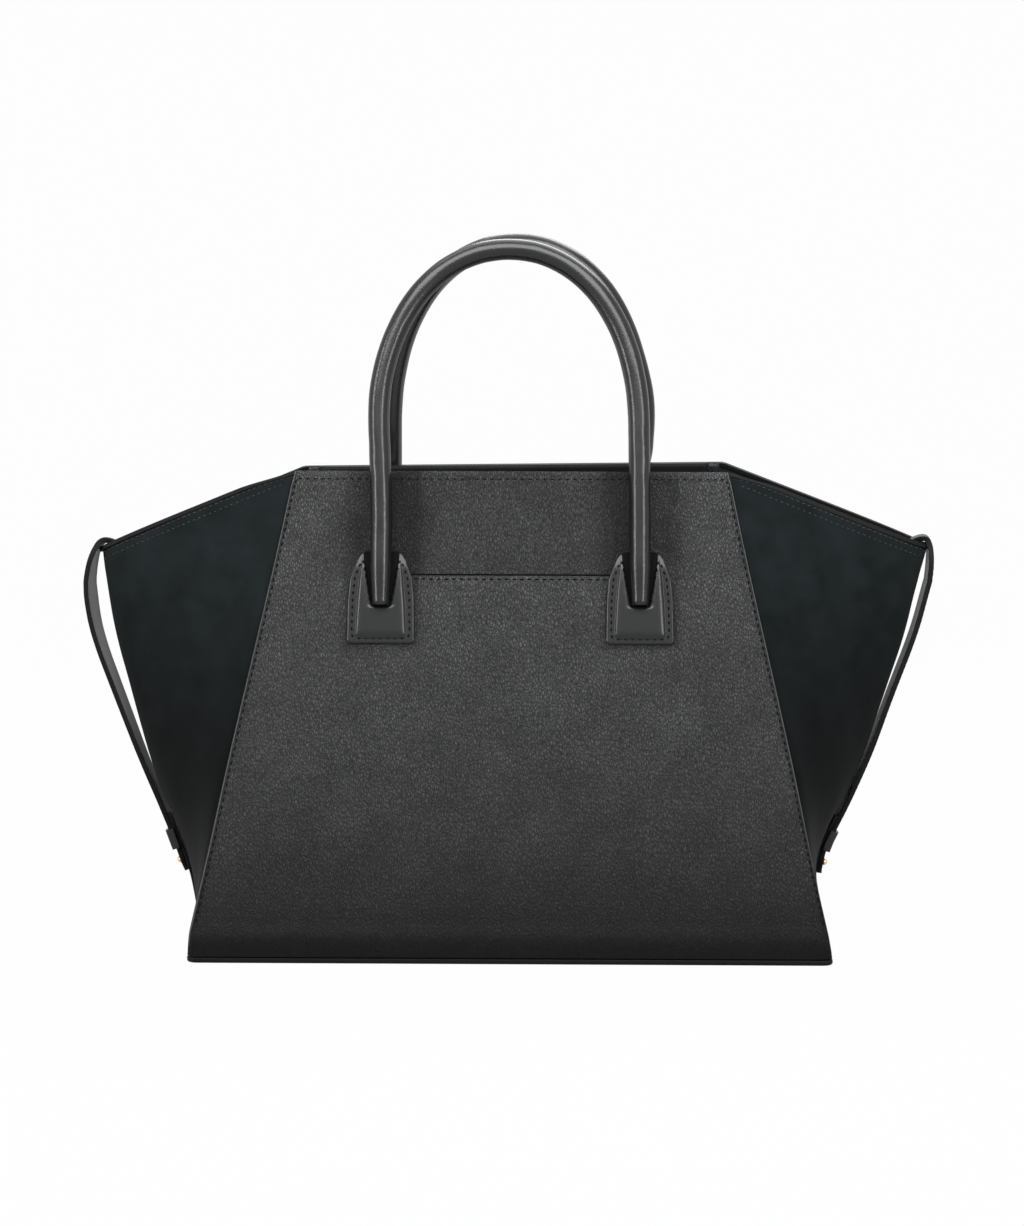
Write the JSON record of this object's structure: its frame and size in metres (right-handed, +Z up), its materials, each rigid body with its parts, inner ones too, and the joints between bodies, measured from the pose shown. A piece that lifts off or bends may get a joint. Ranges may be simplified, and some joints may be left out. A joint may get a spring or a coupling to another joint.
{
  "type": "top-zip tote bag",
  "caption": "Structured trapezoid leather tote with suede side wings, rolled top handles, folded side straps and a recessed zip closure.",
  "frame": {"origin": "centre of the flat underside, on the surface that the bag stands on", "axes": "+X to the bag's right wing as seen from the front, +Y to the back, +Z up"},
  "size_m": [0.489, 0.1726, 0.4088],
  "materials": {
    "grained_leather": "pebble-grained black calf leather, satin",
    "smooth_leather": "smooth black leather, semi-gloss",
    "strap_leather": "folded black leather strap, satin, painted edge",
    "suede": "near-black suede with a soft nap",
    "lining_cloth": "plain woven black lining cloth",
    "base_board": "stiff plastic base board under the lining",
    "zip_tape": "black woven zip tape",
    "gold_metal": "polished pale gold-tone metal"
  },
  "bodies": {
    "bag": {"base_panel": "smooth_leather", "front_facing": "smooth_leather", "back_facing": "smooth_leather", "left_wing_binding": "smooth_leather", "right_wing_binding": "smooth_leather", "left_wing_closure": "smooth_leather", "right_wing_closure": "smooth_leather", "front_tab_left": "smooth_leather", "front_tab_right": "smooth_leather", "back_tab_left": "smooth_leather", "back_tab_right": "smooth_leather", "front_handle_root_left": "smooth_leather", "front_handle_root_right": "smooth_leather", "back_handle_root_left": "smooth_leather", "back_handle_root_right": "smooth_leather", "front_panel": "grained_leather", "back_panel": "grained_leather", "front_yoke": "grained_leather", "left_gusset": "suede", "right_gusset": "suede", "left_strap": "strap_leather", "right_strap": "strap_leather", "left_strap_anchor": "strap_leather", "right_strap_anchor": "strap_leather", "left_strap_keeper": "strap_leather", "right_strap_keeper": "strap_leather", "lining": "lining_cloth", "inner_pocket": "lining_cloth", "base_board": "base_board", "left_zip_end": "zip_tape", "right_zip_end": "zip_tape", "left_strap_stud": "gold_metal", "right_strap_stud": "gold_metal"},
    "front_handle": {"front_handle": "smooth_leather"},
    "back_handle": {"back_handle": "smooth_leather"},
    "front_closure": {"front_closure_flap": "smooth_leather", "front_zip_tape": "zip_tape", "front_zip_teeth": "gold_metal"},
    "back_closure": {"back_closure_flap": "smooth_leather", "back_zip_tape": "zip_tape", "back_zip_teeth": "gold_metal"},
    "slider": {"zip_slider": "gold_metal"},
    "pull": {"zip_pull": "gold_metal"}
  },
  "joints": [
    {"name": "front_handle_swing", "type": "hinge", "parent": "bag", "child": "front_handle", "pos_m": [0, -0.05219, 0.2333], "axis": [1, 0, 0], "range_deg": [0, 150]},
    {"name": "back_handle_swing", "type": "hinge", "parent": "bag", "child": "back_handle", "pos_m": [0, 0.05219, 0.2333], "axis": [-1, 0, 0], "range_deg": [0, 150]},
    {"name": "front_closure_fold", "type": "hinge", "parent": "bag", "child": "front_closure", "pos_m": [0, -0.02765, 0.262], "axis": [-1, 0, 0], "range_deg": [0, 80]},
    {"name": "back_closure_fold", "type": "hinge", "parent": "bag", "child": "back_closure", "pos_m": [0, 0.02765, 0.262], "axis": [1, 0, 0], "range_deg": [0, 80]},
    {"name": "zip_slide", "type": "slide", "parent": "bag", "child": "slider", "axis": [-1, 0, 0], "range_m": [0, 0.23]},
    {"name": "pull_swing", "type": "hinge", "parent": "slider", "child": "pull", "pos_m": [0.115, 0, 0.265], "axis": [0, 1, 0], "range_deg": [0, 160]}
  ]
}
